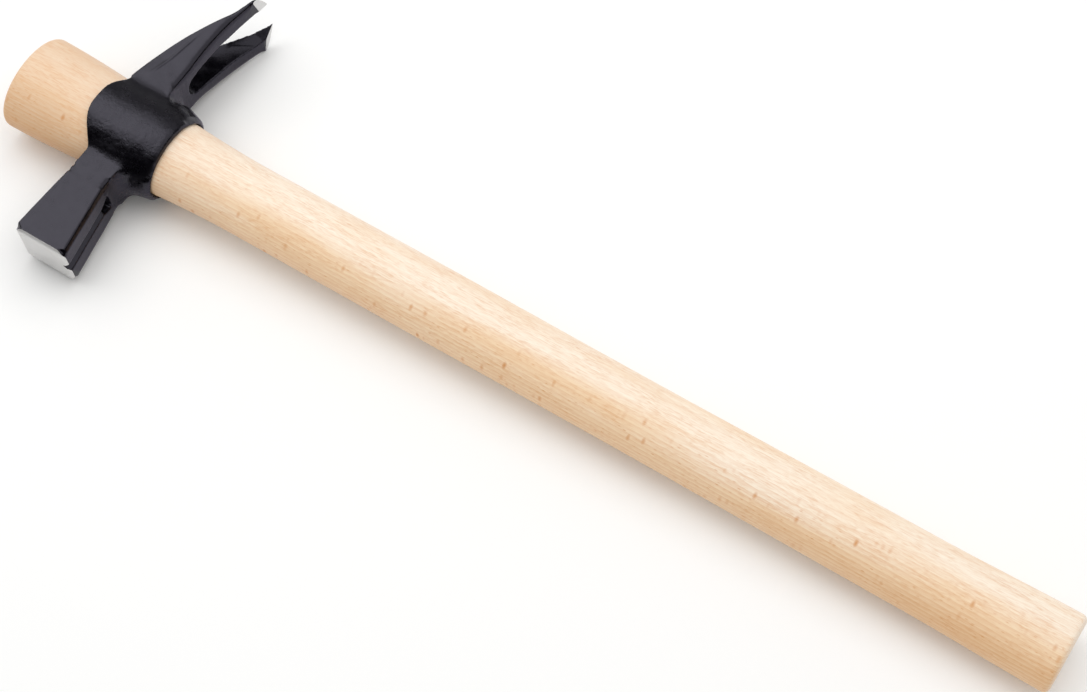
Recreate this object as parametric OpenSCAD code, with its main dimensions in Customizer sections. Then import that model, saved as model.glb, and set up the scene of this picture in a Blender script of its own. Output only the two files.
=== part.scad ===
// Claw hammer with a forged head on a round-shouldered beech handle.
// The handle is passed through the head's eye butt first, and its flared top wedges in the eye.
// X runs along the handle from the butt to the top, Y towards the striking face, Z out of one cheek.

/* [Handle] */
// Length of the handle from butt to top
handle_len = 420; // [380:5:460]
// Width of the butt, in the plane of the head
butt_w = 29; // [28:0.2:29.4]
// Thickness of the butt, from side to side
butt_t = 23; // [22:0.2:23.4]
// Length over which the butt swells out
butt_len = 56; // [40:2:80]
// Width at the slimmest place of the grip
waist_w = 26.6; // [25:0.2:27.4]
// Thickness at the slimmest place of the grip
waist_t = 21.2; // [20:0.2:22]
// Distance from the butt to the slimmest place
waist_at = 162; // [140:2:190]
// Width of the shaft below the flare
neck_w = 27.2; // [26.4:0.2:28]
// Thickness of the shaft below the flare
neck_t = 21.8; // [21:0.2:22.6]
// Length of the flare at the top
flare_len = 98; // [90:1:110]
// Width of the top
top_w = 37.8; // [36.5:0.2:39]
// Thickness of the top
top_t = 30; // [29:0.2:31]
// Rounding of the butt's edge
butt_round = 2.4; // [0.6:0.1:3]
// Rounding of the top's edge
top_round = 2; // [0.6:0.1:3]

/* [Head place and eye] */
// How far the handle stands out above the ears
stick_out = 32.3; // [26:0.5:38]
// Height of the ears above the head's centre line
ear_h = 14.7; // [13:0.1:16]
// Depth of the collar below the head's centre line
collar_h = 18.3; // [16:0.1:21]
// Gap between wood and steel where the handle seats, at the top of the eye
seat_gap = 0.12; // [0.1:0.01:0.2]
// Gap between wood and steel at the collar's rim
rim_gap = 0.45; // [0.3:0.05:0.7]
// Wall of the eye towards the face and the claws, at the top of the ears
end_wall = 1.4; // [1:0.1:3]
// Wall of the eye at the cheeks, at the top of the ears
cheek_wall = 1.8; // [1.4:0.1:3]
// Wall of the collar at its rim, at the cheeks
rim_wall = 2.6; // [2:0.1:3.4]
// Wall of the collar at its rim, towards the face
rim_end_wall = 1.9; // [1.6:0.1:3]
// Wall of the collar at its rim, towards the claw
rim_claw_wall = 1.3; // [1:0.1:2.4]
// How far the collar swells out below the claw, halfway to its rim
collar_swell = 1; // [0:0.1:1.6]
// Fillet between the collar and the poll
poll_fillet = 4.5; // [3:0.5:5]
// Fillet between the collar and the claw
claw_fillet = 2.5; // [1.5:0.5:4]
// Rounding of the collar's rim
rim_round = 1; // [0.4:0.1:1.2]
// Fillet between the eye's barrel and the cheeks
cheek_fillet = 4; // [2:0.5:6]

/* [Poll and face] */
// Distance from the handle's axis to the striking face
face_reach = 55.4; // [50:0.2:62]
// Height of the face above the centre line, before its band is ground
face_top = 10.8; // [10:0.1:12]
// Depth of the face below the centre line, before its band is ground
face_low = 11.6; // [10:0.1:12.4]
// Thickness of the face across the cheeks
face_t = 20.6; // [19:0.2:23]
// Height of the poll's top side above the centre line, where it leaves the barrel
poll_top = 7.7; // [7:0.1:9]
// Depth of the poll's grip side below the centre line, where it leaves the barrel
poll_low = 6.4; // [5.8:0.1:8]
// Thickness of the poll where it leaves the barrel
poll_t = 19.2; // [17:0.2:20.4]
// Width of the ground band round the face
face_band = 1.5; // [0.5:0.1:2]
// Length of the ground band along the poll
face_band_len = 1.3; // [0.8:0.1:3]
// Rounding of the ground face's corners
face_corner = 3; // [1.5:0.5:5]
// Flat along the poll's two edges on the grip side, across the cheek
poll_flat = 1.6; // [0.8:0.1:2.2]
// Flat along the poll's two edges on the top side, across the cheek
top_flat = 0.5; // [0.3:0.1:1.5]

/* [Nail holder] */
// Width of the groove that holds a nail's shank
groove_w = 4.4; // [3.5:0.1:5.5]
// Depth of the groove
groove_d = 3; // [2:0.1:3.6]
// Distance from the face to the pocket for the nail's head
pocket_at = 24.8; // [22:0.2:28]
// Length of the pocket along the poll
pocket_len = 5; // [3.5:0.1:5.5]
// Width of the pocket across the poll, at its end towards the handle
pocket_w = 9; // [7:0.1:10]
// Depth of the pocket
pocket_d = 4; // [3:0.1:4.4]
// Share of the pocket's width and length that is left at its bottom
pocket_taper = 0.45; // [0.3:0.05:0.8]

/* [Claw] */
// Distance from the handle's axis to the claw's tips
claw_reach = 68.4; // [64:0.2:74]
// Level of the tips below the head's centre line
claw_drop = 11.2; // [9:0.1:14]
// Thickness of the claw's root across the cheeks
claw_root_t = 21.6; // [20:0.2:23.4]
// Thickness across the claw's two tips
claw_tip_t = 32.6; // [30:0.2:36]
// Distance from the handle's axis to where the claw starts to spread
spread_at = 28; // [26:0.5:32]
// Height of the claw's ridge above the centre line at its root
ridge_h = 13.1; // [12:0.1:14]
// Depth of the claw's gripping side below the centre line at its root
land_h = 5.1; // [4:0.1:6.5]
// Radius of the ridge, seen from the cheek
ridge_r = 128; // [115:1:150]
// Radius of the gripping side, seen from the cheek
land_r = 138; // [120:1:170]
// Radius of the crown across the ridge
crown_r = 23.5; // [22:0.5:28]
// Share of the claw's thickness that its crown takes at most
crown_share = 0.78; // [0.6:0.02:0.85]
// Bevel along the claw's two outer edges, on the gripping side
claw_bevel = 0.7; // [0.4:0.1:1.2]
// Thickness left at the claw's ground edge
edge_t = 0.4; // [0.2:0.1:0.8]
// Length of the ground facet on each tip
facet_len = 7; // [5:0.5:9]
// Distance from the handle's axis to the bottom of the nail slot
slot_at = 25.4; // [24:0.2:30]
// Radius of the slot's root on the gripping side
slot_r = 5.2; // [4.6:0.1:6]
// Radius of the slot's root on the ridge side
slot_top_r = 2.9; // [2.5:0.1:4]
// Width of the slot at the start of the facets, on the gripping side
mouth_w = 20; // [17:0.2:22]
// Width of the slot between the extreme points of the tips
point_gap = 12; // [10:0.2:14]

/* [Hidden] */
// Faces round the handle and the eye, which share them so that they stay parallel
oval_sides = 40;
// Rings along the handle's length
grip_rings = 26;
flare_rings = 12;
// Rings round an end's rounded edge
edge_rings = 4;
// Rings along the eye
eye_rings = 7;
// Rings through the collar's fillets
collar_rings = 8;
// Sections along the claw, and segments across its crown
claw_rings = 18;
tip_rings = 6;
crown_steps = 16;
// Segments in a rounded corner of a profile
corner_steps = 6;
// What a cutter reaches past the surface that it cuts
past = 2;
// What a block stops short of the end of the cutter that shapes it
near = 0.3;
// How far the collar's trim clears the barrel where it starts, so that it cuts in along a clean line
clear = 0.26;
// Length over which the flats on the poll's edges fade in
fade = 6;
// Half of the space that the head's profiles are drawn in
room = 40;

head_at = handle_len - stick_out - ear_h;
rim_at = head_at - collar_h;
ear_at = head_at + ear_h;
barrel_w = 2 * (half_w(ear_at) + seat_gap + end_wall);
barrel_t = 2 * (half_t(ear_at) + seat_gap + cheek_wall);
collar_poll = half_w(rim_at) + rim_gap + rim_end_wall;
collar_claw = half_w(rim_at) + rim_gap + rim_claw_wall;
collar_t = 2 * (half_t(rim_at) + rim_gap + rim_wall);
// Where the claw leaves the barrel
claw_root = barrel_w / 2 + past;
// Where the collar's fillets end, and the levels of the poll's and the claw's undersides there
poll_join = barrel_w / 2 + poll_fillet;
claw_join = barrel_w / 2 + claw_fillet;
facet_at = claw_reach - facet_len;
ridge_c = arc_centre([ridge_h, -claw_root], [-claw_drop, -claw_reach], ridge_r);
land_c = arc_centre([-land_h, -claw_root], [-claw_drop, -facet_at], land_r);
poll_base = -poll_side(poll_join);
claw_base = -land_level(claw_join);

function mix(a, b, t) = a + (b - a) * t;
// Eases from 0 to 1 as v goes from a to b
function ease(v, a, b) =
    let (t = min(1, max(0, (v - a) / (b - a))))
    t * t * (3 - 2 * t);
// The centre of an arc of radius r through p and q, on the side that the claw curls to
function arc_centre(p, q, r) =
    let (d = q - p, h = norm(d) / 2, n = [d[1], -d[0]] / norm(d))
    (p + q) / 2 + n * sqrt(r * r - h * h);
// Height of an arc round c at a distance d from the handle's axis
function arc_level(c, r, d) = c[0] + sqrt(r * r - pow(d + c[1], 2));

// Size of the handle at x, from its butt, waist, neck and top
function swell(x, butt, waist, neck, top) =
    mix(butt, waist, 0.75 * ease(x, 0, butt_len) + 0.25 * ease(x, butt_len, waist_at))
    + (neck - waist) * ease(x, waist_at, handle_len - 1.6 * flare_len)
    + (top - neck) * ease(x, handle_len - flare_len, handle_len);
function half_w(x) = swell(x, butt_w, waist_w, neck_w, top_w) / 2;
function half_t(x) = swell(x, butt_t, waist_t, neck_t, top_t) / 2;

// An oval ring across the handle's axis
function oval(x, w, t) =
    [for (i = [0 : oval_sides - 1]) let (a = 360 * (i + 0.5) / oval_sides) [x, w * cos(a), t * sin(a)]];
// A ring of the handle, drawn in by an edge's rounding
function wood_ring(x, in) = oval(x, half_w(x) - in, half_t(x) - in);
// The polygon through vertices [x, y, radius], with each corner rounded to its radius
function rounded(v) =
    let (n = len(v))
    [for (i = [0 : n - 1]) each corner(v[(i + n - 1) % n], v[i], v[(i + 1) % n])];
function corner(a, b, c) =
    let (p = [b[0], b[1]], u = unit([a[0], a[1]] - p), w = unit([c[0], c[1]] - p))
    b[2] == 0 ? [p] :
    let (half = acos(u * w) / 2, m = p + unit(u + w) * b[2] / sin(half), s = u[0] * w[1] - u[1] * w[0])
    let (from = angle(p + u * b[2] / tan(half) - m), turn = (s > 0 ? -1 : 1) * (180 - 2 * half))
    [for (k = [0 : corner_steps]) let (t = from + turn * k / corner_steps) m + b[2] * [cos(t), sin(t)]];
function unit(v) = v / norm(v);
function angle(v) = atan2(v[1], v[0]);

// A closed skin over a row of rings that have the same number of points
module loft(rings) {
    n = len(rings[0]);
    m = len(rings);
    ends = [[for (i = [0 : n - 1]) i], [for (i = [n - 1 : -1 : 0]) (m - 1) * n + i]];
    sides = [for (k = [0 : m - 2], i = [0 : n - 1]) let (a = k * n + i, b = k * n + (i + 1) % n)
        each [[a, a + n, b], [b, a + n, b + n]]];
    polyhedron(points = [for (r = rings) each r], faces = concat(ends, sides));
}

module handle() color("burlywood") {
    butt_edge = [for (k = [0 : edge_rings]) let (a = 90 * k / edge_rings)
        wood_ring(butt_round * (1 - cos(a)), butt_round * (1 - sin(a)))];
    top_edge = [for (k = [edge_rings : -1 : 0]) let (a = 90 * k / edge_rings)
        wood_ring(handle_len - top_round * (1 - cos(a)), top_round * (1 - sin(a)))];
    flare_at = handle_len - flare_len;
    grip = [for (k = [1 : grip_rings]) wood_ring(mix(butt_round, flare_at, k / grip_rings), 0)];
    flare = [for (k = [1 : flare_rings - 1])
        wood_ring(mix(flare_at, handle_len - top_round, k / flare_rings), 0)];
    loft(concat(butt_edge, grip, flare, top_edge));
}

module head() color("dimgray") translate([head_at, 0, 0])
    difference() {
        union() {
            intersection() {
                barrel_side();
                barrel_plan();
            }
            claw();
        }
        eye();
        collar_trim();
        face_grinding();
        poll_edges();
        nail_holder();
        nail_slot();
    }

// The head seen from the cheek: ears, poll, collar and the claw's root
module barrel_side() {
    linear_extrude(height = 2 * room, center = true) polygon(rounded([
        [face_top, face_reach, 0],
        [poll_top, barrel_w / 2 - 3.2, 4],
        [ear_h, 5.2, 13],
        [ear_h, -8, 14],
        [ear_h - 4.1, -barrel_w / 2 + 1.6, 6],
        [ear_h - 5.2, -barrel_w / 2 - 3, 0],
        [past - claw_base, -barrel_w / 2 - 3, 0],
        [past - claw_base, near - claw_join, 0],
        [-collar_h, near - claw_join, 0],
        [-collar_h, poll_join - near, 0],
        [poll_side(poll_join - near), poll_join - near, 0],
        [-face_low, face_reach, 0],
    ]));
}

// The head seen along the handle: the barrel's oval, filleted into the poll and the claw's root
module barrel_plan() {
    rotate([90, 0, 90]) linear_extrude(height = 2 * room, center = true)
        offset(r = -cheek_fillet, $fn = 40) offset(delta = cheek_fillet) {
            polygon([for (p = oval(0, barrel_w / 2, barrel_t / 2)) [p[1], p[2]]]);
            polygon([
                [face_reach, face_t / 2],
                [barrel_w / 2, poll_t / 2],
                [0, poll_t / 2],
                [0, -poll_t / 2],
                [barrel_w / 2, -poll_t / 2],
                [face_reach, -face_t / 2],
            ]);
            translate([-claw_join / 2, 0]) square([claw_join, claw_root_t - 0.04], center = true);
        }
}

// The claw before it is slotted, from inside the barrel to its ground tips
module claw() loft(concat(
    [for (k = [0 : claw_rings]) claw_ring(mix(barrel_w / 2 - 3, facet_at, k / claw_rings))],
    [for (k = [1 : tip_rings]) claw_ring(facet_at + facet_len * k / tip_rings)]
));
// A section across the claw at a distance d from the handle's axis: flat below, crowned above
function claw_ring(d) =
    let (half = claw_half(d), low = land_level(d), high = max(low + edge_t, ridge_level(d)))
    let (crown = min(crown_r - sqrt(crown_r * crown_r - half * half), crown_share * (high - low)))
    let (drop = min(crown, high - low - edge_t), cut = min(claw_bevel, 0.4 * (high - drop - low)))
    concat(
        [[low, -d, cut - half], [low + cut, -d, -half]],
        [for (k = [0 : crown_steps]) let (t = 2 * k / crown_steps - 1) [high - drop * t * t, -d, half * t]],
        [[low + cut, -d, half], [low, -d, half - cut]]
    );
// Half of the claw's thickness, which spreads towards the tips and is rounded off round them
function claw_half(d) =
    let (t = max(0, (d - spread_at - 1) / (facet_at - spread_at - 1)))
    let (spread = mix(claw_root_t, claw_tip_t, 1.5 * t - 0.5 * t * t) / 2)
    let (in = max(0, (d - facet_at) / facet_len))
    d <= facet_at ? spread : mix(claw_tip_t, point_gap + 1, in * in) / 2;
function ridge_level(d) = arc_level(ridge_c, ridge_r, d);
// The gripping side, which starts flat over the collar's fillet and ends in the flat facets
function land_level(d) = d > facet_at ? -claw_drop : arc_level(land_c, land_r, max(d, claw_join));

// The tapered oval hole, which follows the handle's flare
module eye() {
    loft([for (k = [0 : eye_rings]) let (x = mix(rim_at - past, ear_at + past, k / eye_rings),
            gap = mix(rim_gap, seat_gap, ease(x, rim_at, ear_at)))
        oval(x - head_at, half_w(x) + gap, half_t(x) + gap)]);
}

// Trims the collar to a tapered oval, which swells out into the poll and the claw
module collar_trim() {
    swell_from = max(poll_base + poll_fillet, claw_base + claw_fillet);
    difference() {
        union() {
            translate([-collar_h - past, 0, -room])
                cube([collar_h + past - poll_base, poll_join, 2 * room]);
            translate([-collar_h - past, -claw_join, -room])
                cube([collar_h + past - claw_base, claw_join, 2 * room]);
        }
        loft(concat(
            [collar_ring(-collar_h - past, -rim_round - past), collar_ring(-collar_h + rim_round, 0)],
            [for (k = [0 : collar_rings]) collar_ring(mix(-swell_from, -poll_base, k / collar_rings), 0)],
            [for (k = [1 : 3]) collar_ring(mix(-poll_base, -claw_base, k / 3), 0)],
            [collar_ring(-claw_base + past, 0)]
        ));
    }
}
// A ring round the collar at a height u, which swells out where the fillets start
function collar_ring(u, out) =
    let (k = min(1, max(0, (-u - land_h) / (collar_h - land_h))))
    let (free = out + clear * (1 - k), bow = 4 * collar_swell * k * (1 - k))
    let (poll = swell_out(u + poll_base, poll_fillet), claw = swell_out(u + claw_base, claw_fillet))
    let (t = mix(barrel_t, collar_t, k) / 2 + free)
    let (poll_w = mix(barrel_w / 2, collar_poll, k) + free + poll)
    let (claw_w = mix(barrel_w / 2, collar_claw, k) + free + claw + bow)
    [for (p = oval(u, 1, 1))
        [u, p[1] * (p[1] > 0 ? poll_w : claw_w), p[2] * t]];
// How far a fillet of radius r has swung out at a height v below the side that it joins
function swell_out(v, r) = let (t = min(1, max(0, (v + r) / r))) r * (1 - sqrt(1 - t * t));

// The ground band round the striking face, which cuts deeper at the corners
module face_grinding() {
    slope = face_band / face_band_len;
    back = 3 * face_band_len;
    difference() {
        translate([-face_low - past, face_reach - back, -face_t / 2 - past])
            cube([face_low + face_top + 2 * past, back + past, face_t + 2 * past]);
        loft([
            band_ring(face_reach - back - past, slope * (back + past)),
            band_ring(face_reach + past, -slope * past),
        ]);
    }
}
// A ring with rounded corners round the face at y, swollen out by a distance
function band_ring(y, out) =
    let (w = (face_top + face_low) / 2 - face_band, t = face_t / 2 - face_band, r = face_corner)
    [for (p = rounded([[t, w, r], [-t, w, r], [-t, -w, r], [t, -w, r]]))
        let (q = [p[1], p[0]]) let (n = unit(q - [clip(q[0], w), clip(q[1], t)] + 0.0001 * unit(q)))
        [q[0] + out * n[0] + (face_top - face_low) / 2, y, q[1] + out * n[1]]];
function clip(v, half) = min(half - face_corner, max(face_corner - half, v));

// Narrow flats along the poll's long edges, which fade in from the barrel
module poll_edges() {
    from = barrel_w / 2 + 1;
    for (s = [-1, 1]) for (c = [-1, 1]) {
        flat = s < 0 ? poll_flat : top_flat;
        low = s < 0 ? poll_low : poll_top;
        high = s < 0 ? face_low : face_top;
        mirror([s < 0 ? 1 : 0, 0, 0]) mirror([0, 0, c < 0 ? 1 : 0]) loft([
            edge_ring(from, low, high, 0.05 * flat),
            edge_ring(from + fade, low, high, flat),
            edge_ring(face_reach + past, low, high, flat),
        ]);
    }
}
// A three-cornered ring over one long edge of the poll at a distance y from the handle's axis
function edge_ring(y, low, high, flat) =
    let (k = (y - barrel_w / 2) / (face_reach - barrel_w / 2))
    let (w = mix(low, high, k), t = mix(poll_t, face_t, k) / 2)
    [[w - 0.85 * flat, y, t + 0.3 * flat], [w + past, y, t + past], [w + 0.2 * flat, y, t - 1.3 * flat]];

// The groove for a nail's shank and the pocket for its head, on the grip side of the poll
module nail_holder() {
    from = face_reach - pocket_at;
    loft([groove_ring(from - pocket_len / 2), groove_ring(face_reach + past)]);
    loft([
        pocket_ring(from - pocket_len / 2, -past, 1 + (1 - pocket_taper) * past / pocket_d),
        pocket_ring(from - pocket_len / 2, pocket_d, pocket_taper),
    ]);
}
// The pocket at a depth v below the poll's grip side: wide towards the handle, slim towards the face
function pocket_ring(y, v, size) =
    let (x = poll_side(y) + v, reach = size * pocket_len / 2)
    let (wide = size * pocket_w / 2, slim = size * groove_w / 2)
    [[x, y - reach, -wide], [x, y + reach, -slim], [x, y + reach, slim], [x, y - reach, wide]];
function groove_ring(y) =
    let (side = poll_side(y), half = groove_w / 2 * (groove_d + past) / groove_d)
    [[side - past, y, half], [side + groove_d, y, 0], [side - past, y, -half]];
// The poll's grip side at a distance y from the handle's axis
function poll_side(y) = -mix(poll_low, face_low, (y - barrel_w / 2) / (face_reach - barrel_w / 2));

// The slot between the claws, wider on the gripping side, with a round root
module nail_slot() {
    centre = slot_at + slot_r;
    low = slot_low(centre);
    translate([low, -centre, 0]) rotate([0, 90, 0])
        cylinder(r1 = slot_r, r2 = slot_top_r, h = slot_high(centre) - low, $fn = 40);
    loft([
        slot_ring(centre, slot_r, slot_top_r),
        slot_part(centre, 0.12, 0.2, 0.12),
        slot_part(centre, 0.45, 0.52, 0.42),
        slot_ring(facet_at, mouth_w / 2, point_gap / 2),
        slot_ring(claw_reach + past, point_gap / 2, point_gap / 2),
    ]);
}
function slot_low(d) = arc_level(land_c, land_r, min(d, facet_at)) - past;
function slot_high(d) = ridge_level(d) + past;
// The slot part of the way to its mouth: shares of its length and of its spread on either side
function slot_part(from, along, low, high) =
    let (low_half = mix(slot_r, mouth_w / 2, low), high_half = mix(slot_top_r, point_gap / 2, high))
    slot_ring(mix(from, facet_at, along), low_half, high_half);
function slot_ring(d, low_half, high_half) =
    let (low = slot_low(d), high = slot_high(d))
    [[low, -d, -low_half], [high, -d, -high_half], [high, -d, high_half], [low, -d, low_half]];

handle();
head();
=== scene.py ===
# Claw hammer: a black forged head on a flared beech handle.
# Frame: X along the handle from butt to top, Y towards the striking face, Z out of one cheek.
import bmesh
import bpy
import math
from mathutils import Euler, Matrix, Vector, noise


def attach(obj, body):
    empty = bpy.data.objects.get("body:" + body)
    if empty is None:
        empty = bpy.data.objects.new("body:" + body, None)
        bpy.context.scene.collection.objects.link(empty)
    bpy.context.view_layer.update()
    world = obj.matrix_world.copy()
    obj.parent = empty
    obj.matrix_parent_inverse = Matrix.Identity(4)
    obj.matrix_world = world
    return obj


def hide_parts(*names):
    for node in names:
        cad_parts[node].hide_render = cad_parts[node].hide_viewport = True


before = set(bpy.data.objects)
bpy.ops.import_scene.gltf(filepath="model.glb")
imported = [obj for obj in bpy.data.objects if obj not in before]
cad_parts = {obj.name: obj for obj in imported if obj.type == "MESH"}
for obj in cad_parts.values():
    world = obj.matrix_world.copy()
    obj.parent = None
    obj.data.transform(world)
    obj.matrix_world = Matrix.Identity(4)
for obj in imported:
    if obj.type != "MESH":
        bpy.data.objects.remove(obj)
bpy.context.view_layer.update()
mm = 0.001
scene = bpy.context.scene


def linearColour(hexCode):
    # sRGB hex to the linear colour that the nodes want
    parts = [int(hexCode[i:i + 2], 16) / 255 for i in (1, 3, 5)]
    return [p / 12.92 if p <= 0.04045 else ((p + 0.055) / 1.055) ** 2.4 for p in parts] + [1.0]


def addNode(tree, kind, settings=None, links=None):
    # settings go to inputs by name or number, or else to the node itself
    node = tree.nodes.new(kind)
    for key, value in (settings or {}).items():
        if isinstance(key, int) or key in node.inputs:
            node.inputs[key].default_value = value
        else:
            setattr(node, key, value)
    for key, socket in (links or {}).items():
        tree.links.new(socket, node.inputs[key])
    return node


def newMaterial(name):
    material = bpy.data.materials.new(name)
    material.use_nodes = True
    material.node_tree.nodes.clear()
    return material, material.node_tree


def fillRamp(node, stops):
    # stops are (position, linear colour)
    ramp = node.color_ramp
    while len(ramp.elements) < len(stops):
        ramp.elements.new(0.5)
    for element, (position, colour) in zip(ramp.elements, stops):
        element.position = position
        element.color = colour


def newObject(name, bm, materials):
    mesh = bpy.data.meshes.new(name)
    bm.to_mesh(mesh)
    bm.free()
    obj = bpy.data.objects.new(name, mesh)
    scene.collection.objects.link(obj)
    for material in materials:
        mesh.materials.append(material)
    return obj


def applyModifiers(obj):
    graph = bpy.context.evaluated_depsgraph_get()
    mesh = bpy.data.meshes.new_from_object(obj.evaluated_get(graph))
    obj.modifiers.clear()
    obj.data = mesh


# camera, at the photograph's viewing angle

view = {
    "place": (0.000166, 0.263662, 0.712404),
    "turn": (25.2243, 2.2170, -147.7954),
    "lens": 75.924,
    "sensor": 36.0,
}
cameraData = bpy.data.cameras.new("photoCamera")
cameraData.lens = view["lens"]
cameraData.sensor_width = view["sensor"]
cameraData.clip_start = 0.01
camera = bpy.data.objects.new("photoCamera", cameraData)
camera.location = view["place"]
camera.rotation_euler = Euler([math.radians(a) for a in view["turn"]])
scene.collection.objects.link(camera)
scene.camera = camera
scene.view_settings.view_transform = "Standard"

# materials

beech = {
    "pale": "#FCEEDB",
    "tan": "#F5D8B4",
    # painted shade: the deep warm tone of the handle's side turned from the lamps
    "paintedShadeTone": "#EEC79B",
    "top": "#D9AA78",
    "buttRimPale": "#EADBCB",
    "streak": "#DBA16A",
    "fleck": "#D28C4A",
    "roughness": 0.5,
    "lean": 0.02,                    # how far the grain leans off the handle's axis
    "paintedShadeFrom": (-0.004, 0.013),   # metres across: painted shade, the handle's side turned from the lamps is coloured deeper and warmer
    "topFrom": (0.32, 0.40),         # metres along: the flared top is a shade deeper
    "pith": (0.0, -0.055, 0.075),    # metres from the handle's axis to the tree's centre
    "ringSpacing": 1.5,              # mm
    "fibre": (9.0, 0.55),            # mm along and across
    "fineFibre": (3.0, 0.4),         # mm; real fibres are 0.02 mm wide, drawn coarser to show
    "patch": (16.0, 4.5),            # mm; places where the fibres show more
    "ray": (2.4, 0.6),               # mm; the short brown dashes that mark beech
    "mark": (2.6, 4.6),              # mm; rays seen broadside, as small spots across the grain
    "markBand": (-0.003, 0.003, 0.009, 0.013),   # metres across: the side of the handle that they show on
    "drift": (90.0, 12.0),           # mm; slow change of colour
    "wander": 0.22,                  # how far that goes along the tones
    "paintedShadeAmount": 0.66,
    "topAmount": 0.5,
    "ringAmount": 0.42,
    "fibreAmount": 0.3,
    "fineAmount": 0.36,
    "rayAmount": (0.4, 0.8),         # share of the places that have one, and how dark it is
    "markAmount": (0.4, 0.85),
    "buttRimFrom": (0.0004, 0.0012),     # metres from the butt's end, where a thin pale line runs round it
    "poreEnd": (0.0005, 0.0016),
    "pore": (0.6, 0.6),              # mm; real pores are 0.1 mm, drawn coarser to show
    "grainDepth": 0.05,              # mm
    "ior": 1.45,
}


def patternScale(size):
    # one unit of the pattern is size[0] mm along the handle and size[1] mm across it
    return 1 / (size[0] * mm), 1 / (size[1] * mm), 1 / (size[1] * mm)


def span(start, end, low=0.0, high=1.0):
    # what a Map Range node is set to
    return {"From Min": start, "From Max": end, "To Min": low, "To Max": high}


def streaks(tree, place, size, detail, roughness=0.5):
    # soft noise that is drawn out along the grain
    drawn = addNode(tree, "ShaderNodeMapping", {"Scale": patternScale(size)}, {"Vector": place})
    return addNode(tree, "ShaderNodeTexNoise", {"Scale": 1.0, "Detail": detail, "Roughness": roughness},
                   {"Vector": drawn.outputs["Vector"]}).outputs["Fac"]


def spots(tree, place, size, share, strength, inner, outer):
    # the middles of some of a pattern's cells
    drawn = addNode(tree, "ShaderNodeMapping", {"Scale": patternScale(size)}, {"Vector": place})
    cells = addNode(tree, "ShaderNodeTexVoronoi", {"feature": "F1", "Scale": 1.0, "Randomness": 1.0},
                    {"Vector": drawn.outputs["Vector"]})
    pick = addNode(tree, "ShaderNodeSeparateColor", None, {"Color": cells.outputs["Color"]})
    middle = addNode(tree, "ShaderNodeMapRange", span(inner, outer, 1.0, 0.0),
                     {"Value": cells.outputs["Distance"]})
    chosen = addNode(tree, "ShaderNodeMapRange", span(1.0 - share, 1.0, 0.0, strength),
                     {"Value": pick.outputs["Red"]})
    return addNode(tree, "ShaderNodeMath", {"operation": "MULTIPLY"},
                   {0: middle.outputs["Result"], 1: chosen.outputs["Result"]}).outputs["Value"]


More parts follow.
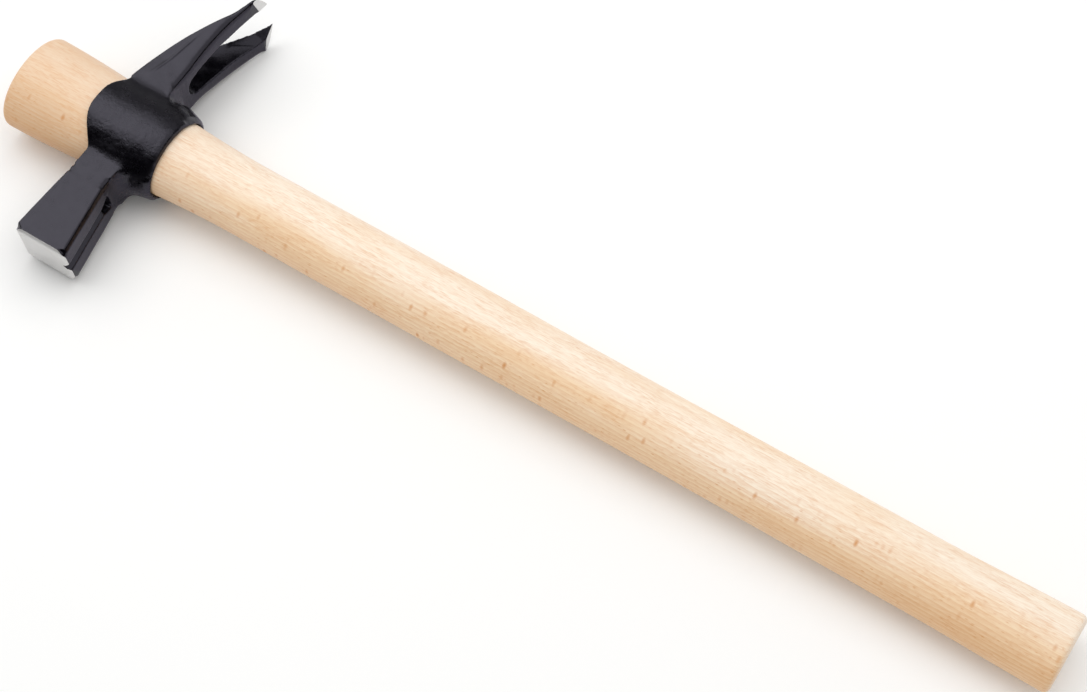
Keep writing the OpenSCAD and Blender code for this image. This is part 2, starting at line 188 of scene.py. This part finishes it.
def makeBeech():
    # steamed beech, turned and sanded with thin oil: pale, even, low sheen, fine brown dashes, with painted
    # shade on the side turned from the lamps
    material, tree = newMaterial("sandedBeech")
    place = addNode(tree, "ShaderNodeTexCoord").outputs["Object"]
    leaning = addNode(tree, "ShaderNodeMapping", {"Rotation": (0, 0, -beech["lean"])},
                      {"Vector": place}).outputs["Vector"]
    across = addNode(tree, "ShaderNodeSeparateXYZ", None, {"Vector": leaning})
    pithPlace = addNode(tree, "ShaderNodeMapping",
                        {"Location": beech["pith"], "Rotation": (0, 0.004, 0.006)}, {"Vector": place})
    rings = addNode(tree, "ShaderNodeTexWave",
                    {"wave_type": "RINGS", "rings_direction": "X", "wave_profile": "SAW",
                     "Scale": 2 * math.pi / (20 * beech["ringSpacing"] * mm),
                     "Distortion": 2.2, "Detail": 2.0, "Detail Scale": 0.08, "Detail Roughness": 0.5},
                    {"Vector": pithPlace.outputs["Vector"]})
    drift = streaks(tree, place, beech["drift"], 3.0)
    fibre = streaks(tree, leaning, beech["fibre"], 4.0, 0.6)
    fine = streaks(tree, leaning, beech["fineFibre"], 1.0)
    patch = streaks(tree, leaning, beech["patch"], 2.0)
    # painted shade: towards +Y, the side turned from the lamps, the wood is made deeper and warmer, with
    # stronger rings and dashes
    shadeSide = addNode(tree, "ShaderNodeMapRange", span(*beech["paintedShadeFrom"]),
                    {"Value": across.outputs["Y"]}).outputs["Result"]

    side = beech["markBand"]
    shares = {}
    for name, source, settings in (
            ("wander", drift, span(0.3, 0.7, -beech["wander"], beech["wander"])),
            ("top", across.outputs["X"], span(*beech["topFrom"], 0.0, beech["topAmount"])),
            ("topOnShadeSide", shadeSide, span(0.0, 1.0, 0.9, 1.4)),
            ("ring", rings.outputs["Fac"], span(0.3, 0.95, 0.0, beech["ringAmount"])),
            ("ringOnShadeSide", shadeSide, span(0.0, 1.0, 0.25, 1.0)),
            ("fibre", fibre, span(0.45, 0.72, 0.0, beech["fibreAmount"])),
            ("fine", fine, span(0.45, 0.72, 0.0, beech["fineAmount"])),
            ("dense", patch, span(0.35, 0.65, 0.5, 1.25)),
            ("rayOnShadeSide", shadeSide, span(0.1, 0.7, 0.25, 1.0)),
            ("markStart", across.outputs["Y"], span(side[0], side[1])),
            ("markEnd", across.outputs["Y"], span(side[2], side[3], 1.0, 0.0)),
            ("buttRim", across.outputs["X"], span(*beech["buttRimFrom"], 0.5, 0.0)),
            ("poreEnd", across.outputs["X"], span(*beech["poreEnd"], 1.0, 0.0))):
        shares[name] = addNode(tree, "ShaderNodeMapRange", settings, {"Value": source}).outputs["Result"]

    # the tone goes from pale, across the handle, to the painted shade's deep warm tone, and wanders a little
    # at random
    level = addNode(tree, "ShaderNodeMath", {"operation": "MULTIPLY_ADD", 1: beech["paintedShadeAmount"]},
                    {0: shadeSide, 2: shares["wander"]})
    tone = addNode(tree, "ShaderNodeValToRGB", None, {"Fac": level.outputs["Value"]})
    fillRamp(tone, [(0.0, linearColour(beech["pale"])), (0.4, linearColour(beech["tan"])),
                    (0.8, linearColour(beech["paintedShadeTone"]))])
    wood = tone.outputs["Color"]
    for colour, amount, *factors in (    # laid on in this order, each by its amount times the rest
            ("top", shares["top"], shares["topOnShadeSide"]),
            ("streak", shares["ring"], shares["ringOnShadeSide"]),
            ("streak", shares["fibre"], shares["dense"]),
            ("streak", shares["fine"], shares["dense"]),
            ("fleck", spots(tree, leaning, beech["ray"], *beech["rayAmount"], 0.08, 0.36),
             shares["rayOnShadeSide"]),
            ("fleck", spots(tree, place, beech["mark"], *beech["markAmount"], 0.08, 0.38),
             shares["markStart"], shares["markEnd"]),
            # paler in a thin line round the butt's end
            ("buttRimPale", shares["buttRim"]),
            ("fleck", spots(tree, place, beech["pore"], 0.35, 0.5, 0.1, 0.4), shares["poreEnd"])):
        for factor in factors:
            amount = addNode(tree, "ShaderNodeMath", {"operation": "MULTIPLY"},
                             {0: amount, 1: factor}).outputs["Value"]
        wood = addNode(tree, "ShaderNodeMix", {"data_type": "RGBA", 7: linearColour(beech[colour])},
                       {0: amount, 6: wood}).outputs[2]
    bump = addNode(tree, "ShaderNodeBump", {"Strength": 0.25, "Distance": beech["grainDepth"] * mm},
                   {"Height": fine})
    shader = addNode(tree, "ShaderNodeBsdfPrincipled", {"Roughness": beech["roughness"], "IOR": beech["ior"]},
                     {"Base Color": wood, "Normal": bump.outputs["Normal"]})
    addNode(tree, "ShaderNodeOutputMaterial", None, {"Surface": shader.outputs["BSDF"]})
    return material


lacquer = {
    "colour": "#050407",
    "tint": "#EFEBFF",
    "roughness": (0.15, 0.29),
    "pits": 0.8,            # mm between the small pits that show through the lacquer
    "scale": 3.5,           # mm across a patch of forging scale
    "barrel": (-0.014, 0.002, 0.017, 0.024),    # metres across: the skin is rougher on the barrel
    "calm": 0.1,            # how much of that roughness the other surfaces have
    "barrelRougher": 0.06,
    "skinDepth": 0.4,       # mm
    "pitDepth": 0.04,
    "ior": 1.52,
}


def makeLacquer():
    # drop-forged steel dipped in black lacquer: near black, satin sheen, skin of the forging under it
    material, tree = newMaterial("blackLacquerOnForging")
    place = addNode(tree, "ShaderNodeTexCoord").outputs["Object"]
    scale = addNode(tree, "ShaderNodeTexNoise",
                    {"Scale": 1 / (lacquer["scale"] * mm), "Detail": 5.0, "Roughness": 0.6},
                    {"Vector": place})
    pits = addNode(tree, "ShaderNodeTexNoise", {"Scale": 1 / (lacquer["pits"] * mm), "Detail": 3.0},
                   {"Vector": place})
    across = addNode(tree, "ShaderNodeSeparateXYZ", None, {"Vector": place}).outputs["Y"]
    low, start, end, high = lacquer["barrel"]
    rising = addNode(tree, "ShaderNodeMapRange", span(low, start, lacquer["calm"], 1.0), {"Value": across})
    falling = addNode(tree, "ShaderNodeMapRange", span(end, high, 1.0, lacquer["calm"]), {"Value": across})
    strength = addNode(tree, "ShaderNodeMath", {"operation": "MINIMUM"},
                       {0: rising.outputs["Result"], 1: falling.outputs["Result"]}).outputs["Value"]
    rough = addNode(tree, "ShaderNodeMapRange", span(0.3, 0.7, *lacquer["roughness"]),
                    {"Value": scale.outputs["Fac"]})
    rougher = addNode(tree, "ShaderNodeMath", {"operation": "MULTIPLY_ADD", 1: lacquer["barrelRougher"]},
                      {0: strength, 2: rough.outputs["Result"]})
    skin = addNode(tree, "ShaderNodeBump", {"Distance": lacquer["skinDepth"] * mm},
                   {"Height": scale.outputs["Fac"], "Strength": strength})
    bump = addNode(tree, "ShaderNodeBump", {"Strength": 0.4, "Distance": lacquer["pitDepth"] * mm},
                   {"Height": pits.outputs["Fac"], "Normal": skin.outputs["Normal"]})
    shader = addNode(tree, "ShaderNodeBsdfPrincipled",
                     {"Base Color": linearColour(lacquer["colour"]),
                      "Specular Tint": linearColour(lacquer["tint"]), "IOR": lacquer["ior"]},
                     {"Roughness": rougher.outputs["Value"], "Normal": bump.outputs["Normal"]})
    addNode(tree, "ShaderNodeOutputMaterial", None, {"Surface": shader.outputs["BSDF"]})
    return material


groundSteel = {
    "colour": "#D8D7D6",
    "roughness": (0.38, 0.52),
    "scratch": (5.0, 0.25),     # mm along and across; the belt's grit is finer, drawn coarser to show
    "scratchDepth": 0.02,       # mm
}


def makeGroundSteel():
    # bare steel off the grinding belt: bright, with fine parallel scratches
    material, tree = newMaterial("groundSteel")
    place = addNode(tree, "ShaderNodeTexCoord").outputs["Object"]
    scratches = streaks(tree, place, groundSteel["scratch"], 3.0)
    rough = addNode(tree, "ShaderNodeMapRange", span(0.3, 0.7, *groundSteel["roughness"]),
                    {"Value": scratches})
    bump = addNode(tree, "ShaderNodeBump", {"Strength": 0.3, "Distance": groundSteel["scratchDepth"] * mm},
                   {"Height": scratches})
    shader = addNode(tree, "ShaderNodeBsdfPrincipled",
                     {"Base Color": linearColour(groundSteel["colour"]), "Metallic": 1.0},
                     {"Roughness": rough.outputs["Result"], "Normal": bump.outputs["Normal"]})
    addNode(tree, "ShaderNodeOutputMaterial", None, {"Surface": shader.outputs["BSDF"]})
    return material


beechFinish = makeBeech()
lacquerFinish = makeLacquer()
steelFinish = makeGroundSteel()
print("materials made")

# handle: an oval drawn out along X through the same swells as the CAD one

handleSize = {
    "length": 420.0,
    "butt": (29.0, 23.0),       # width in the head's plane, and thickness
    "buttLength": 56.0,
    "buttShare": 0.75,          # how much of the slimming is done in that length
    "waist": (26.6, 21.2),
    "waistAt": 162.0,
    "neck": (27.2, 21.8),
    "neckFrom": 1.6,            # flare lengths down from the top
    "flareLength": 98.0,
    "top": (37.8, 30.0),
    "buttRound": 2.4,
    "topRound": 2.0,
    "sides": 112,
    "stepLength": 3.5,
    "edgeSteps": 7,
}


def ease(value, start, end):
    t = min(1.0, max(0.0, (value - start) / (end - start)))
    return t * t * (3 - 2 * t)


def handleHalf(x, side):
    # half of the handle's width (side 0) or thickness (side 1) at x mm from the butt
    s = handleSize
    share, neckAt = s["buttShare"], s["length"] - s["neckFrom"] * s["flareLength"]
    down = share * ease(x, 0, s["buttLength"]) + (1 - share) * ease(x, s["buttLength"], s["waistAt"])
    size = s["butt"][side] + (s["waist"][side] - s["butt"][side]) * down
    size += (s["neck"][side] - s["waist"][side]) * ease(x, s["waistAt"], neckAt)
    size += (s["top"][side] - s["neck"][side]) * ease(x, s["length"] - s["flareLength"], s["length"])
    return size / 2


def makeHandle():
    s = handleSize
    rings = []
    for k in range(s["edgeSteps"] + 1):
        a = math.pi / 2 * k / s["edgeSteps"]
        rings.append((s["buttRound"] * (1 - math.cos(a)), s["buttRound"] * (1 - math.sin(a))))
    steps = round((s["length"] - s["buttRound"] - s["topRound"]) / s["stepLength"])
    for k in range(1, steps):
        rings.append((s["buttRound"] + (s["length"] - s["buttRound"] - s["topRound"]) * k / steps, 0.0))
    for k in range(s["edgeSteps"], -1, -1):
        a = math.pi / 2 * k / s["edgeSteps"]
        rings.append((s["length"] - s["topRound"] * (1 - math.cos(a)), s["topRound"] * (1 - math.sin(a))))
    bm = bmesh.new()
    first = bmesh.ops.create_circle(bm, cap_ends=True, segments=s["sides"], radius=1.0,
                                    matrix=Matrix.Rotation(math.pi / 2, 4, "Y"))
    ring = first["verts"]
    x, drawn = rings[0]
    size = (handleHalf(x, 0) - drawn, handleHalf(x, 1) - drawn)
    bmesh.ops.scale(bm, vec=(1, size[0] * mm, size[1] * mm), verts=ring)
    edges = [e for e in bm.edges]
    for newX, drawn in rings[1:]:
        out = bmesh.ops.extrude_edge_only(bm, edges=edges)["geom"]
        ring = [g for g in out if isinstance(g, bmesh.types.BMVert)]
        edges = [g for g in out if isinstance(g, bmesh.types.BMEdge)]
        newSize = (handleHalf(newX, 0) - drawn, handleHalf(newX, 1) - drawn)
        bmesh.ops.scale(bm, vec=(1, newSize[0] / size[0], newSize[1] / size[1]), verts=ring)
        bmesh.ops.translate(bm, vec=((newX - x) * mm, 0, 0), verts=ring)
        x, size = newX, newSize
    bmesh.ops.contextual_create(bm, geom=edges)
    bmesh.ops.recalc_face_normals(bm, faces=bm.faces)
    for face in bm.faces:
        face.smooth = len(face.verts) == 4
    return newObject("beechHandle", bm, [beechFinish])


handle = makeHandle()
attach(handle, "root")
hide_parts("handle")
print("handle made")

# head: the CAD forging, given a smooth skin, real fillets and scale, and then its ground places

headSize = {
    "centre": 373.0,            # mm from the butt to the head's centre line
    "faceReach": 55.4,
    "faceTop": 10.8,
    "faceLow": 11.6,
    "faceThick": 20.6,
    "band": 1.5,
    "bandLength": 0.85,
    "cutBack": 1.4,             # the CAD's own band ends here, behind the face
    "faceCorner": 0.9,
    "grinder": 160.0,           # mm: long enough for the whole head to fit in
    "tipDrop": 11.2,
    "facetAt": 61.4,
    "tipHalf": 15.83,
    "tipGrinder": (20.0, 28.0, 28.0),
    "facetLean": (0.149, 0.108),    # the facets lean a little towards the points and outwards
    "landFall": (-0.72, -2.4),      # mm: how the gripping side falls away towards the tips
    "spare": 3.0,               # metal left on the ground places until they are cut
    "voxel": 0.32,
    "skinPasses": 3,
    "filletPasses": 44,
    "keep": 0.42,               # share of the skin's triangles that is kept
    "crisp": 0.07,              # how sharp an outer edge is to be kept
    "crispSpread": 1,
    "clawEdges": (-60.0, -21.0),    # mm across: where the claws' long edges are rounded
    "outerEdge": (-0.25, 6, 90),    # least turn to the grip side, rings of points, and passes
    "innerEdge": (-0.55, 1, 10),
    "edgeTurn": 0.33,               # least turn to the cheek, or to the slot
    "recess": (7.8, 1.5, 1.2),      # mm below the centre line, wide and deep, under the claw's root
    "recessAcross": (-24.0, -11.0),
    "recessHalf": (8.5, 11.5, 12.0),    # mm from the middle: it fades out between the first two
    "freeTo": 27.0,
    "lipFrom": (-3.2, -16.0),   # mm: below and beyond this the lip under the claw stays crisp
    "blendPasses": 30,
    "blendSteps": 5,            # each one reaches less far, so that no crease is left where the blend ends
    "blendStep": 1.6,           # mm
    "blend": (9.5, 27.0, 6.5, 16.0),    # mm: where the barrel blends widely into the poll and the claw
    "drawnLine": ((379.3, -20.6), (371.6, -44.0)),   # mm, along the claw's cheek
    "line": (0.55, 0.24),       # mm wide and high
    "lineFade": (-0.15, 0.2, 0.7, 1.1),     # shares of its length where it rises and dies out
    "lineOn": (0.4, 8.0),       # least turn to the cheek, and mm from the middle
    "wave": (7.0, 0.10),        # mm; the uneven surface that the die leaves
    "ripple": (2.2, 0.022),
    "slotWall": (-22.0, 8.5, 0.6),      # mm across and from the middle, and least turn to the slot
    "slotCalm": 0.2,            # the sheared walls of the slot are flatter than that
    "sharpAngle": 32,           # degrees
}


def flattenForging(bm):
    # cut the poll short and draw it out past the face; pull the tips' facets out as well
    s = headSize
    cutAt = s["faceReach"] - s["cutBack"]
    bmesh.ops.bisect_plane(bm, geom=bm.verts[:] + bm.edges[:] + bm.faces[:], dist=1e-7,
                           plane_co=(0, cutAt * mm, 0), plane_no=(0, 1, 0), clear_outer=True)
    rim = [e for e in bm.edges if e.is_boundary]
    cap = bmesh.ops.contextual_create(bm, geom=rim)["faces"]
    drawn = bmesh.ops.extrude_face_region(bm, geom=cap)["geom"]
    drawnVerts = [g for g in drawn if isinstance(g, bmesh.types.BMVert)]
    bmesh.ops.delete(bm, geom=cap, context="FACES_ONLY")
    bmesh.ops.translate(bm, vec=(0, (s["cutBack"] + s["spare"]) * mm, 0), verts=drawnVerts)
    level = (s["centre"] - s["tipDrop"]) * mm
    middles = {f: f.calc_center_median() for f in bm.faces if f.normal.x < -0.99}
    facets = [f for f, middle in middles.items()
              if middle.y < -s["facetAt"] * mm and abs(middle.x - level) < 0.05 * mm]
    pulled = bmesh.ops.extrude_face_region(bm, geom=facets)["geom"]
    bmesh.ops.delete(bm, geom=facets, context="FACES_ONLY")
    bmesh.ops.translate(bm, vec=(s["landFall"][0] * mm, s["landFall"][1] * mm, 0),
                        verts=[g for g in pulled if isinstance(g, bmesh.types.BMVert)])


def smoothPoints(bm, points, passes):
    for k in range(passes):
        bmesh.ops.smooth_vert(bm, verts=points, factor=0.5, use_axis_x=True, use_axis_y=True, use_axis_z=True)


def softenForging(bm):
    # even out the skin, then let all but the crisp outer edges flow, which fillets the inner corners
    s = headSize
    smoothPoints(bm, bm.verts[:], s["skinPasses"])
    bm.normal_update()
    crisp = set()
    for vert in bm.verts:
        middle = sum((e.other_vert(vert).co for e in vert.link_edges), Vector()) / len(vert.link_edges)
        if (middle - vert.co).dot(vert.normal) < -s["crisp"] * s["voxel"] * mm:
            crisp.add(vert)
    for k in range(s["crispSpread"]):
        crisp |= {e.other_vert(v) for v in crisp for e in v.link_edges}
    lipX, lipY = (s["centre"] + s["lipFrom"][0]) * mm, s["lipFrom"][1] * mm
    free = [v for v in bm.verts if v not in crisp and v.co.y < s["freeTo"] * mm
            and not (v.co.x < lipX and v.co.y < lipY)]
    smoothPoints(bm, free, s["filletPasses"])
    near, far, side, top = [v * mm for v in s["blend"]]
    for k in range(s["blendSteps"]):
        reach = far - s["blendStep"] * mm * k
        blend = [v for v in free if near < abs(v.co.y) < reach and abs(v.co.z) > side
                 and v.co.x < s["centre"] * mm + top]
        smoothPoints(bm, blend, s["blendPasses"])
    print("softened", len(free), "and", len(blend), "of", len(bm.verts), "points")


def roundClaws(bm):
    # round the claws' long edges, and undercut the root where it meets the collar
    s = headSize
    bm.normal_update()
    far, near = [v * mm for v in s["clawEdges"]]
    for sign, (low, rings, passes) in ((1, s["outerEdge"]), (-1, s["innerEdge"])):
        edge = {v for v in bm.verts if far < v.co.y < near and v.normal.x < low
                and v.normal.z * math.copysign(sign, v.co.z) > s["edgeTurn"]}
        for k in range(rings):
            edge |= {e.other_vert(v) for v in edge for e in v.link_edges}
        smoothPoints(bm, list(edge), passes)
    down, wide, deep = s["recess"]
    far, near = [v * mm for v in s["recessAcross"]]
    fadeFrom, fadeTo, limit = s["recessHalf"]
    for vert in bm.verts:
        across = abs(vert.co.z) / mm
        if vert.normal.y < 0 and across < limit and far < vert.co.y < near:
            off = (vert.co.x / mm - s["centre"] + down) / wide
            vert.co.y += deep * mm * math.exp(-off * off) * (1 - ease(across, fadeFrom, fadeTo))


def drawLine(bm):
    # a low ridge along each cheek of the claw, where the two dies met
    s = headSize
    start, end = [Vector(p + (0,)) * mm for p in s["drawnLine"]]
    length = (end - start).length
    along = (end - start) / length
    bm.normal_update()
    for vert in bm.verts:
        if abs(vert.normal.z) < s["lineOn"][0] or abs(vert.co.z) < s["lineOn"][1] * mm:
            continue
        flat = Vector((vert.co.x, vert.co.y, 0)) - start
        at = flat.dot(along)
        off = (flat - along * at).length / (s["line"][0] * mm)
        if off < 3:
            fade = ease(at / length, *s["lineFade"][:2]) * (1 - ease(at / length, *s["lineFade"][2:]))
            vert.co += vert.normal * s["line"][1] * mm * math.exp(-off * off) * fade


def addScale(bm):
    # the uneven skin that the die leaves
    s = headSize
    bm.normal_update()
    across, half, turn = s["slotWall"]
    for vert in bm.verts:
        wave = noise.noise(vert.co / (s["wave"][0] * mm)) * s["wave"][1]
        ripple = noise.noise(vert.co / (s["ripple"][0] * mm) + Vector((7, 3, 5))) * s["ripple"][1]
        inSlot = vert.co.y < across * mm and abs(vert.co.z) < half * mm and abs(vert.normal.z) > turn
        vert.co += vert.normal * (wave + ripple) * mm * (s["slotCalm"] if inSlot else 1)


def makeFaceGrinder():
    # a block that the whole head fits in, tapered to the ground band and cut off at the face
    s = headSize
    reach = s["grinder"]
    grow = reach * s["band"] / s["bandLength"]
    bm = bmesh.new()
    bmesh.ops.create_cube(bm, size=1.0)
    bmesh.ops.scale(bm, vec=((s["faceTop"] + s["faceLow"] - 2 * s["band"]) * mm, reach * mm,
                             (s["faceThick"] - 2 * s["band"]) * mm), verts=bm.verts)
    corners = [e for e in bm.edges if abs(e.verts[0].co.y - e.verts[1].co.y) > reach * mm / 2]
    bmesh.ops.bevel(bm, geom=corners, offset=s["faceCorner"] * mm, offset_type="OFFSET", segments=8,
                    profile=0.5, affect="EDGES", material=-1)
    for vert in [v for v in bm.verts if v.co.y < 0]:
        vert.co += Vector((math.copysign(grow, vert.co.x), 0, math.copysign(grow, vert.co.z))) * mm
    bmesh.ops.translate(bm, vec=((s["centre"] + (s["faceTop"] - s["faceLow"]) / 2) * mm,
                                 (s["faceReach"] - reach / 2) * mm, 0), verts=bm.verts)
    bmesh.ops.recalc_face_normals(bm, faces=bm.faces)
    return newObject("faceGrinder", bm, [steelFinish])


def makeTipGrinder(side):
    # a block whose top is the ground facet on the claw of that side
    s = headSize
    outward = Vector((-1, -s["facetLean"][0], side * s["facetLean"][1])).normalized()
    corner = Vector((s["centre"] - s["tipDrop"], -s["facetAt"], side * s["tipHalf"])) * mm
    bm = bmesh.new()
    bmesh.ops.create_cube(bm, size=1.0)
    bmesh.ops.scale(bm, vec=[v * mm for v in s["tipGrinder"]], verts=bm.verts)
    turned = outward.to_track_quat("X", "Z").to_matrix().to_4x4()
    middle = corner + outward * s["tipGrinder"][0] / 2 * mm
    bmesh.ops.transform(bm, matrix=Matrix.Translation(middle) @ turned, verts=bm.verts)
    return newObject("tipGrinder", bm, [steelFinish])


def makeHead():
    s = headSize
    bm = bmesh.new()
    bm.from_mesh(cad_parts["head"].data)
    bmesh.ops.remove_doubles(bm, verts=bm.verts, dist=0.001 * mm)
    flattenForging(bm)
    bmesh.ops.triangulate(bm, faces=bm.faces)
    head = newObject("forgedHead", bm, [lacquerFinish])
    skin = head.modifiers.new("skin", "REMESH")
    skin.mode = "VOXEL"
    skin.voxel_size = s["voxel"] * mm
    applyModifiers(head)
    bm = bmesh.new()
    bm.from_mesh(head.data)
    softenForging(bm)
    roundClaws(bm)
    drawLine(bm)
    bm.to_mesh(head.data)
    bm.free()
    thin = head.modifiers.new("thin", "DECIMATE")
    thin.ratio = s["keep"]
    applyModifiers(head)
    bm = bmesh.new()
    bm.from_mesh(head.data)
    addScale(bm)
    bm.to_mesh(head.data)
    bm.free()
    head.data.materials.clear()
    head.data.materials.append(lacquerFinish)
    for grinder, operation in ((makeFaceGrinder(), "INTERSECT"), (makeTipGrinder(1), "DIFFERENCE"),
                               (makeTipGrinder(-1), "DIFFERENCE")):
        cut = head.modifiers.new("grind", "BOOLEAN")
        cut.object = grinder
        cut.operation = operation
        cut.solver = "EXACT"
        cut.material_mode = "TRANSFER"
        applyModifiers(head)
        bpy.data.objects.remove(grinder)
    bm = bmesh.new()
    bm.from_mesh(head.data)
    bmesh.ops.remove_doubles(bm, verts=bm.verts, dist=0.002 * mm)
    for face in bm.faces:
        face.smooth = True
    for edge in bm.edges:
        edge.smooth = not (edge.is_manifold and edge.calc_face_angle(0) > math.radians(s["sharpAngle"]))
    print("head:", len(bm.faces), "faces,", sum(not e.is_manifold for e in bm.edges), "open edges,",
          [m.name for m in head.data.materials])
    bm.to_mesh(head.data)
    bm.free()
    return head


head = makeHead()
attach(head, "root")
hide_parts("head")
print("head made")

# floor, lights, and the cards that only the gloss sees

stage = {
    "rests": [(2.0, 0.0, -11.5), (418.0, 0.0, -15.0), (362.0, -63.0, -16.3)],   # mm, where it touches
    "floorSize": 8.0,
    "floorColour": "#FBFBFA",
    "floorRoughness": 0.9,
    "skyInLight": 0.62,         # how bright the sky is as a light; seen or mirrored it is 1
}


def makeFloor():
    # the floor touches the hammer at its butt, its top and one claw
    a, b, c = [Vector(p) * mm for p in stage["rests"]]
    up = (b - a).cross(c - a)
    up = up.normalized() * (1 if up.z > 0 else -1)
    bm = bmesh.new()
    bmesh.ops.create_grid(bm, x_segments=1, y_segments=1, size=stage["floorSize"] / 2)
    bmesh.ops.transform(bm, matrix=Matrix.Translation(a) @ up.to_track_quat("Z", "Y").to_matrix().to_4x4(),
                        verts=bm.verts)
    # backdrop paper: matt, an even white without a sheen
    material, tree = newMaterial("palePaper")
    shader = addNode(tree, "ShaderNodeBsdfPrincipled",
                     {"Base Color": linearColour(stage["floorColour"]), "Roughness": stage["floorRoughness"],
                      "Specular IOR Level": 0.1})
    addNode(tree, "ShaderNodeOutputMaterial", None, {"Surface": shader.outputs["BSDF"]})
    floor = newObject("paperFloor", bm, [material])


makeFloor()

softboxes = {
    # place, what it aims at, size in metres, watts, and whether the gloss sees it
    "keySoftbox": ((1.0, 0.0, 1.0), (0.7, 0.0, 0.0), (1.1, 1.1), 4.1, True),
    "fillSoftbox": ((0.1, -0.4, 1.0), (0.2, 0.0, 0.0), (1.0, 1.3), 4.8, False),
}


def addSoftbox(name, place, aim, size, power, inGloss):
    data = bpy.data.lights.new(name, "AREA")
    data.shape = "RECTANGLE"
    data.size, data.size_y = size
    data.energy = power
    lamp = bpy.data.objects.new(name, data)
    lamp.location = place
    lamp.rotation_euler = (Vector(aim) - Vector(place)).to_track_quat("-Z", "X").to_euler()
    lamp.visible_glossy = inGloss
    scene.collection.objects.link(lamp)


for name, settings in softboxes.items():
    addSoftbox(name, *settings)

cards = {
    # place, turn in degrees, size in metres and colour
    "faceSideCard": ((0.35, 0.42, 0.44), (90, 0, 0), (2.4, 0.9), "#050505"),
    "faceTopCard": ((0.35, 0.42, 1.19), (90, 0, 0), (2.4, 0.6), "#B4B4B4"),
    # faceFloorCard, clawFloorCard and headFloorCard lie on the floor: painted floor shade round the hammer,
    # seen only in the gloss
    "faceFloorCard": ((0.35, 0.285, -0.006), (1.61, 0.48, 0), (1.2, 0.27), "#0A0A0A"),
    "buttSideCard": ((-0.4, 0.0, 0.2), (90, 0, 90), (1.4, 0.42), "#0A0A0A"),
    "clawFloorCard": ((0.765, -0.43, -0.012), (0, 0, 0), (0.8, 0.7), "#8A8A90"),
    "headFloorCard": ((0.36, -0.006, -0.0142), (1.61, 0.48, 0), (0.22, 0.112), "#E4E0EC"),
    "clawSideCard": ((0.35, -0.8, 0.4), (90, 0, 0), (2.4, 0.8), "#989898"),
}


def addCard(name, place, turn, size, colour):
    # a card out of the camera's view, which only the gloss sees, so that the black head has dark sides
    bm = bmesh.new()
    bmesh.ops.create_grid(bm, x_segments=1, y_segments=1, size=0.5)
    bmesh.ops.scale(bm, vec=(size[0], size[1], 1), verts=bm.verts)
    turned = Euler([math.radians(a) for a in turn]).to_matrix().to_4x4()
    bmesh.ops.transform(bm, matrix=Matrix.Translation(place) @ turned, verts=bm.verts)
    material, tree = newMaterial(name)
    shader = addNode(tree, "ShaderNodeBsdfPrincipled",
                     {"Base Color": linearColour(colour), "Roughness": 1.0, "Specular IOR Level": 0.0})
    addNode(tree, "ShaderNodeOutputMaterial", None, {"Surface": shader.outputs["BSDF"]})
    card = newObject(name, bm, [material])
    card.visible_camera = False
    card.visible_shadow = False
    card.visible_diffuse = False


for name, settings in cards.items():
    addCard(name, *settings)
print("floor, lights and cards made")

world = bpy.data.worlds.new("paleStudio")
world.use_nodes = True
scene.world = world
tree = world.node_tree
tree.nodes.clear()
path = addNode(tree, "ShaderNodeLightPath")
seen = addNode(tree, "ShaderNodeMath", {"operation": "MAXIMUM"},
               {0: path.outputs["Is Camera Ray"], 1: path.outputs["Is Glossy Ray"]})
seenAll = addNode(tree, "ShaderNodeMath", {"operation": "MAXIMUM"},
                  {0: seen.outputs["Value"], 1: path.outputs["Is Transmission Ray"]})
level = addNode(tree, "ShaderNodeMapRange", span(0.0, 1.0, stage["skyInLight"], 1.0),
                {"Value": seenAll.outputs["Value"]})
sky = addNode(tree, "ShaderNodeBackground", {"Color": linearColour("#FFFFFF")},
              {"Strength": level.outputs["Result"]})
addNode(tree, "ShaderNodeOutputWorld", None, {"Surface": sky.outputs["Background"]})
